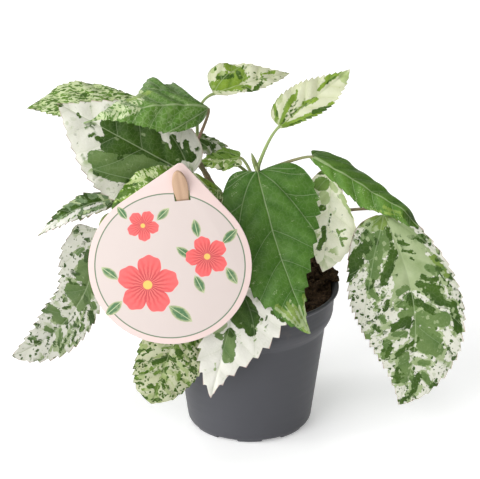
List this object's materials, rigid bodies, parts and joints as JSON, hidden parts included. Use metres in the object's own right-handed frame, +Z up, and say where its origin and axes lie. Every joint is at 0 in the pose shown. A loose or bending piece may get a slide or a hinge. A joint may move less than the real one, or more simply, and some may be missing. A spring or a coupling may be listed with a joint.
{
  "type": "potted hibiscus shrub",
  "caption": "Small variegated hibiscus shrub with large toothed leaves on arching stalks, in a round nursery pot with a drop-shaped card on a wooden stick.",
  "frame": {"origin": "centre of the pot's flat underside", "axes": "+Z up out of the pot, the front with the card and the tall green leaf towards -Y, +X to the right seen from the front"},
  "size_m": [0.3024, 0.1908, 0.2544],
  "materials": {
    "pot_plastic": "dark slate grey, moulded, slightly satin",
    "peat": "moist dark brown peat with fibres, rough",
    "bark": "thin olive to brown bark, dull",
    "leaf_green": "deep green leaf with paler veins, soft gloss",
    "leaf_mixed": "green leaf marbled and speckled with cream, soft gloss",
    "leaf_cream": "cream-white leaf with green patches and a pink toothed edge, soft gloss",
    "stick_wood": "plain sanded light wood",
    "card_stock": "pale pink printed plastic card, smooth"
  },
  "bodies": {
    "root": {"pot": "pot_plastic", "soil": "peat", "trunk": "bark", "bough_centre": "bark", "bough_left": "bark", "bough_right": "bark", "bough_back": "bark", "bough_far_left": "bark", "leaf_front": "leaf_green", "leaf_right_hanging": "leaf_mixed", "leaf_right": "leaf_green", "leaf_right_inner": "leaf_cream", "leaf_top_right": "leaf_cream", "leaf_top_centre": "leaf_mixed", "leaf_top_left": "leaf_green", "leaf_far_left_top": "leaf_mixed", "leaf_left_white": "leaf_cream", "leaf_left_narrow": "leaf_mixed", "leaf_behind_card": "leaf_mixed", "leaf_lower_left": "leaf_cream", "leaf_under_card": "leaf_mixed", "leaf_front_white": "leaf_cream", "leaf_crown_inner": "leaf_mixed", "leaf_crown_rear": "leaf_mixed", "leaf_back_left_low": "leaf_mixed", "leaf_back_left": "leaf_green", "leaf_back_centre": "leaf_cream", "leaf_back_right": "leaf_green", "leaf_back_left_high": "leaf_mixed", "leaf_back_low": "leaf_mixed", "leaf_right_rear": "leaf_mixed", "leaf_far_left_rear": "leaf_green", "leaf_left_rear": "leaf_cream", "stick": "stick_wood", "card": "card_stock"}
  },
  "joints": []
}
